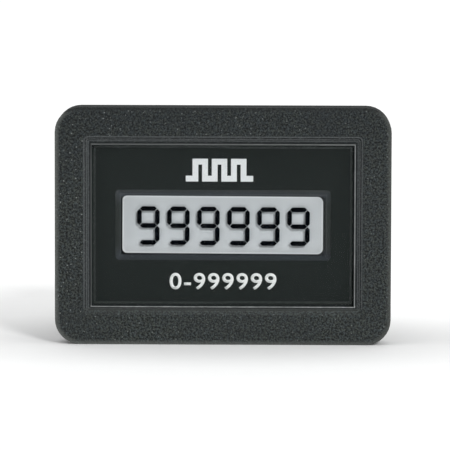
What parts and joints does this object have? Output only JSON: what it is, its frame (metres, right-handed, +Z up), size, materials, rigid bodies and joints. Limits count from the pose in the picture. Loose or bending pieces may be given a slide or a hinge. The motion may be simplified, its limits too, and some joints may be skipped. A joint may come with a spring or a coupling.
{
  "type": "panel counter",
  "caption": "Rectangular panel-mounting liquid crystal counter with a moulded bezel, clamping bracket and flat quick-connect terminals.",
  "frame": {"origin": "centre of the panel cut-out, on the panel's front face, where the gasket's rear face lies", "axes": "-Y out of the front towards the reader, +Y into the panel, +Z up the display, +X to the reader's right along the bezel's long side"},
  "size_m": [0.052, 0.0409, 0.0368],
  "materials": {
    "black_moulding": "fine spark-eroded grain, satin",
    "cover_moulding": "satin moulded plastic",
    "gasket_rubber": "matt",
    "clear_acrylic": "clear, polished",
    "dial_black": "matt black print",
    "polarizer_film": "grey film",
    "display_glass": "clear",
    "reflector_film": "fine silver-grey reflector",
    "white_moulding": "satin",
    "zebra_rubber": "matt, finely striped",
    "board_green": "solder resist over glass epoxy",
    "black_epoxy": "moulded epoxy",
    "bright_steel": "nickel plated",
    "tinned_brass": "tin plated",
    "resistor_beige": "lacquer",
    "capacitor_sleeve": "shrunk sleeve",
    "varistor_blue": "dipped epoxy",
    "zinc_plate": "zinc plated sheet steel",
    "fastener_steel": "zinc plated"
  },
  "bodies": {
    "root": {"bezel_housing": "black_moulding", "gasket": "gasket_rubber", "lens": "clear_acrylic", "dial_plate": "dial_black", "front_polarizer": "polarizer_film", "front_glass": "display_glass", "rear_glass": "display_glass", "rear_polarizer": "reflector_film", "lcd_frame": "white_moulding", "zebra_strip_top": "zebra_rubber", "zebra_strip_bottom": "zebra_rubber", "display_board": "board_green", "controller_chip": "black_epoxy", "crystal": "bright_steel", "battery_cell": "bright_steel", "battery_tab_negative": "bright_steel", "battery_tab_positive": "bright_steel", "pin_header": "black_epoxy", "input_board": "board_green", "optocoupler_1": "black_epoxy", "optocoupler_2": "black_epoxy", "rectifier": "black_epoxy", "resistor_1": "resistor_beige", "resistor_2": "resistor_beige", "resistor_3": "resistor_beige", "capacitor": "capacitor_sleeve", "varistor": "varistor_blue", "terminal_1": "tinned_brass", "terminal_2": "tinned_brass", "terminal_3": "tinned_brass", "terminal_4": "tinned_brass", "rear_cover": "cover_moulding", "mounting_bracket": "zinc_plate", "stud_1": "fastener_steel", "stud_2": "fastener_steel", "lock_washer_1": "fastener_steel", "lock_washer_2": "fastener_steel", "clamp_nut_1": "fastener_steel", "clamp_nut_2": "fastener_steel"}
  },
  "joints": []
}
